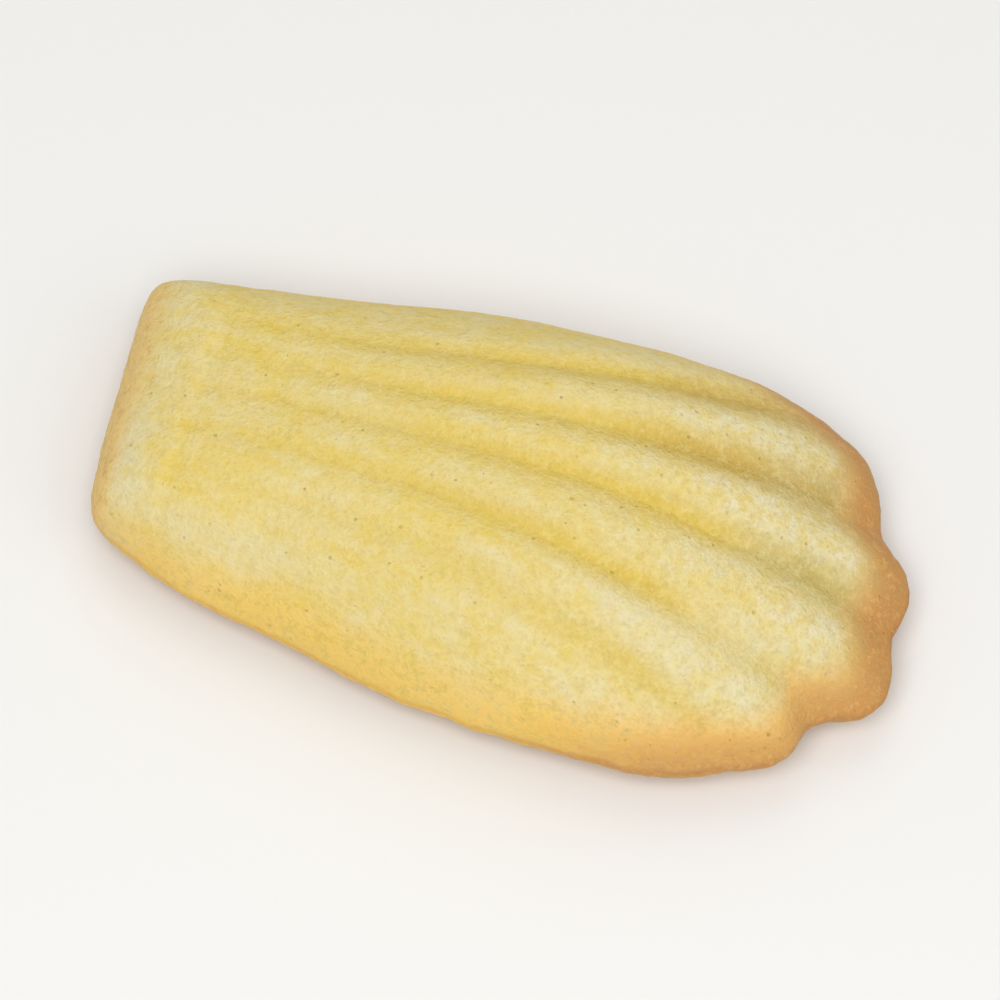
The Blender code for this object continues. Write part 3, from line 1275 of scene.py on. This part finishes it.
    def dust_crests(self, coat: Coat, spot: Spot, toast: Num) -> None:
        """Lays a white bloom on the ribs' wide ends.

        Args:
            coat: the colour so far.
            spot: the point of the crust.
            toast: how far it is browned there.
        """
        crest = spot.along.rise(*self.crests_along) * spot.valley.fall(*self.off_ridge)
        crest = crest * toast.fall(*self.toast_hides_bloom)
        crest = crest * spot.fan.rise(*self.upper_crests).blend(*self.crest_bloom)
        coat.brush(crest * (spot.sum_of(blots=0.9, patches=0.35, grain=0.3) + self.even_bloom), self.bloom)

    def brown_rim(self, coat: Coat, spot: Spot, toast: Num) -> None:
        """Browns the crust: first a warm colour, which differs round the cake, then brown, then dark.

        Args:
            coat: the colour so far.
            spot: the point of the crust.
            toast: how far it is browned there.
        """
        # the warm colour turns darker, from tan to umber, towards +Y
        warm = Coat(coat.bench, mix(coat.bench, spot.across.rise(*self.plus_y_side), self.tan, self.umber))
        warm.brush(spot.along.fall(*self.gold_ends), self.gold)
        warm.brush(spot.from_end.fall(*self.honey_band), self.honey)
        coat.brush(toast.rise(*self.warm_toast), warm.colour)
        coat.brush(toast.rise(*self.brown_toast), self.brown)
        coat.brush(toast.rise(*self.dark_toast), self.dark)
        speckle = spot.sum_of(grain=0.9, blots=0.8) * toast
        coat.brush(speckle * -self.dark_speckle, self.dark)
        coat.brush(speckle * self.pale_speckle, self.tan)

    def speck_crumb(self, coat: Coat, spot: Spot, toast: Num) -> None:
        """Lightens the tops of the crumb and shades its hollows, pores and pits.

        Args:
            coat: the colour so far.
            spot: the point of the crust.
            toast: how far it is browned there.
        """
        contrast = spot.along.rise(*self.wide_half).blend(*self.crumb_contrast)
        crumb = spot.grain * (contrast * (1.0 - toast.clamped() * self.toast_smooths))
        coat.brush(crumb * self.pale_crumb, self.fleck)
        coat.brush((crumb * -self.shaded_crumb).at_least(0.0) + spot.sum_of(pin=0.40, pit=0.12), self.shade)

    def toast(self, spot: Spot) -> Num:
        """How far the crust is browned, with a painted contact shadow along the rim line.

        Args:
            spot: the point of the crust.

        Returns:
            0 for pale and 1 for brown, or beyond.
        """
        # browning grows stronger and reaches further towards +Y
        plus_y_side = spot.across.rise(*self.plus_y_side)
        wide_end = spot.along.rise(*self.wide_end)
        side_reach = spot.along.rise(*self.side_browning_grows).blend(*self.side_browning_reach)
        corner_reach = spot.across.rise(*self.low_corner).blend(*self.corner_browning_reach)
        reach = wide_end.blend(side_reach, plus_y_side.blend(corner_reach, self.plus_y_browning_reach))
        strength = wide_end.blend(self.side_browning, plus_y_side.blend(*self.wide_browning))
        ragged = (spot.rim + spot.sum_of(patches=0.6, blots=0.8, grain=0.4)).at_least(0.0)
        fading = (((ragged / reach) ** self.browning_power) * -1.0).exp()
        shell = strength * fading * (1.0 + spot.sum_of(blots=0.34, grain=0.46))
        # a darker line right along the rim: partly browner crust, partly a painted contact shadow
        shell = shell + spot.rim.fall(*self.rim_line) * self.rim_line_browning_and_shadow
        ragged_end = spot.from_end + spot.sum_of(blots=0.5, grain=0.2)
        end_reach = spot.across.rise(*self.end_corner).blend(*self.end_browning_reach)
        end_strength = spot.across.rise(*self.end_across).blend(*self.end_browning)
        shell = shell.at_least(ragged_end.fall(self.end_browning_from, end_reach) * end_strength)
        mottle = spot.sum_of(patches=0.12, blots=0.10, grain=0.06)
        belly = mottle + self.belly_browning + spot.rim.fall(*self.belly_edge) * self.belly_edge_browning
        return spot.underside.rise(*self.underside_begins).blend(shell, belly)


@dataclass(frozen=True)
class FloorFinish:
    """A plain pale table."""

    colour: Colour = (0.88, 0.875, 0.86, 1.0)
    roughness: float = 0.8

    def build(self) -> bpy.types.Material:
        """The table's material.

        Returns:
            The material.
        """
        material = bpy.data.materials.new("pale_table")
        material.use_nodes = True
        shader = material.node_tree.nodes["Principled BSDF"]
        shader.inputs["Base Color"].default_value = self.colour
        shader.inputs["Roughness"].default_value = self.roughness
        return material


# --------------------------------------------------------------------------------------------------
# The cake, the studio and the camera
# --------------------------------------------------------------------------------------------------


@dataclass(frozen=True)
class Madeleine:
    """The whole cake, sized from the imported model's box."""

    low: Vector
    high: Vector

    RIM_SHARE = 0.2426  # rim line's height against the whole height
    BELLY_SHARE = 0.1502
    CROWN_SHARE = 0.7623
    UNCUT_LENGTH = 0.9666  # against the length of the uneven, scalloped outline
    UNWORN_WIDTH = 1.0038  # against the width with the baked unevenness

    def sizes(self) -> FormSizes:
        """The form's sizes.

        Returns:
            The sizes, in metres.
        """
        box = self.high - self.low
        return FormSizes(
            length=box.x * self.UNCUT_LENGTH,
            width=box.y * self.UNWORN_WIDTH,
            crown_height=box.z * self.CROWN_SHARE,
            rim_height=box.z * self.RIM_SHARE,
            belly_depth=box.z * self.BELLY_SHARE,
        )

    def build(self) -> bpy.types.Object:
        """The cake's one piece, dressed and in its place.

        Returns:
            The piece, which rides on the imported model's body.
        """
        piece = bpy.data.objects.new("madeleine_crust", bpy.data.meshes.new("seed"))
        bpy.context.scene.collection.objects.link(piece)
        crust = CrustFinish().build()
        ShellForm(self.sizes()).apply(piece, crust)
        CrumbRelief(CrumbSizes()).apply(piece, crust)
        self.settle(piece.data)
        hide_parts(NODE)
        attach(piece, BODY)
        return piece

    def settle(self, mesh: bpy.types.Mesh) -> None:
        """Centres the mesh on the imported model's footprint and rests it on the same surface.

        Args:
            mesh: the piece's mesh, which is moved.
        """
        spots = [v.co for v in mesh.vertices]
        low = Vector([min(s[i] for s in spots) for i in range(3)])
        high = Vector([max(s[i] for s in spots) for i in range(3)])
        shift = (self.low + self.high - low - high) / 2
        shift.z = self.low.z - low.z
        mesh.transform(Matrix.Translation(shift))


def direction(azimuth: float, elevation: float) -> Vector:
    """Towards a viewer: azimuth 0 looks along +Y, and elevation is above the horizon, in degrees."""
    turn, rise = math.radians(azimuth), math.radians(elevation)
    return Vector((math.sin(turn) * math.cos(rise), -math.cos(turn) * math.cos(rise), math.sin(rise)))


@dataclass(frozen=True)
class Lamp:
    """A soft square lamp that looks at the cake."""

    name: str
    azimuth: float  # degrees, as the camera's
    elevation: float
    distance: float
    side: float
    watts: float
    colour: Colour = (1.0, 1.0, 1.0)

    def build(self, target: Vector) -> None:
        """Hangs the lamp.

        Args:
            target: the point that it looks at.
        """
        light = bpy.data.lights.new(self.name, "AREA")
        light.size = self.side
        light.energy = self.watts
        light.color = self.colour
        lamp = bpy.data.objects.new(self.name, light)
        back = direction(self.azimuth, self.elevation)
        lamp.location = target + back * self.distance
        lamp.rotation_euler = (-back).to_track_quat("-Z", "Y").to_euler()
        bpy.context.scene.collection.objects.link(lamp)


@dataclass(frozen=True)
class Studio:
    """Pale table, soft lamps and an even surround."""

    lamps: tuple[Lamp, ...] = (
        Lamp("key", 2.0, 62.0, 0.60, 0.40, 1.9, (1.0, 0.99, 0.97)),
        Lamp("fill", 75.0, 45.0, 0.65, 0.50, 0.7, (0.98, 0.99, 1.0)),
        Lamp("back", 200.0, 50.0, 0.70, 0.50, 0.6),
    )
    surround: float = 0.45
    surround_colour: Colour = (1.0, 1.0, 1.0, 1.0)
    floor_side: float = 3.0

    def build(self, target: Vector) -> None:
        """Sets the table, hangs the lamps and lights the surround.

        Args:
            target: the point that the lamps look at.
        """
        bpy.ops.mesh.primitive_plane_add(size=self.floor_side)
        floor = bpy.context.object
        floor.name = "table"
        floor.data.materials.append(FloorFinish().build())
        for lamp in self.lamps:
            lamp.build(target)
        world = bpy.data.worlds.new("surround")
        world.use_nodes = True
        light = world.node_tree.nodes["Background"]
        light.inputs["Color"].default_value = self.surround_colour
        light.inputs["Strength"].default_value = self.surround
        bpy.context.scene.world = world
        bpy.context.scene.view_settings.view_transform = "Standard"


@dataclass(frozen=True)
class Viewpoint:
    """The camera over the cake."""

    azimuth: float = 18.5
    elevation: float = 61.0
    lens: float = 200.0
    fill: float = 0.95  # share of the picture's width that the cake takes

    def build(self, low: Vector, high: Vector) -> None:
        """Sets up the camera, far enough away for the cake to fill its share.

        Args:
            low: the cake's lowest corner.
            high: the cake's highest corner.
        """
        camera = bpy.data.objects.new("camera", bpy.data.cameras.new("camera"))
        camera.data.lens = self.lens
        back = direction(self.azimuth, self.elevation)
        turn = math.radians(self.azimuth)
        box = high - low
        seen = box.x * math.cos(turn) + box.y * math.sin(turn)
        half_angle = math.atan(camera.data.sensor_width / 2 / self.lens)
        distance = seen / self.fill / 2 / math.tan(half_angle)
        camera.location = (low + high) / 2 + back * distance
        camera.rotation_euler = (-back).to_track_quat("-Z", "Y").to_euler()
        bpy.context.scene.collection.objects.link(camera)
        bpy.context.scene.camera = camera


def main() -> None:
    """Builds the cake and its studio."""
    logging.basicConfig(level=logging.INFO, format="%(name)s: %(message)s")
    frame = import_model()
    low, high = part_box(NODE)
    LOG.info("frame: %d node, box %s", len(frame["nodes"]), [round(side / MM, 1) for side in high - low])
    Viewpoint().build(low, high)
    piece = Madeleine(low, high).build()
    mesh = piece.data
    mesh.calc_loop_triangles()
    LOG.info("%s: %d points, %d triangles", piece.name, len(mesh.vertices), len(mesh.loop_triangles))
    Studio().build((low + high) / 2)


if __name__ == "__main__":
    main()
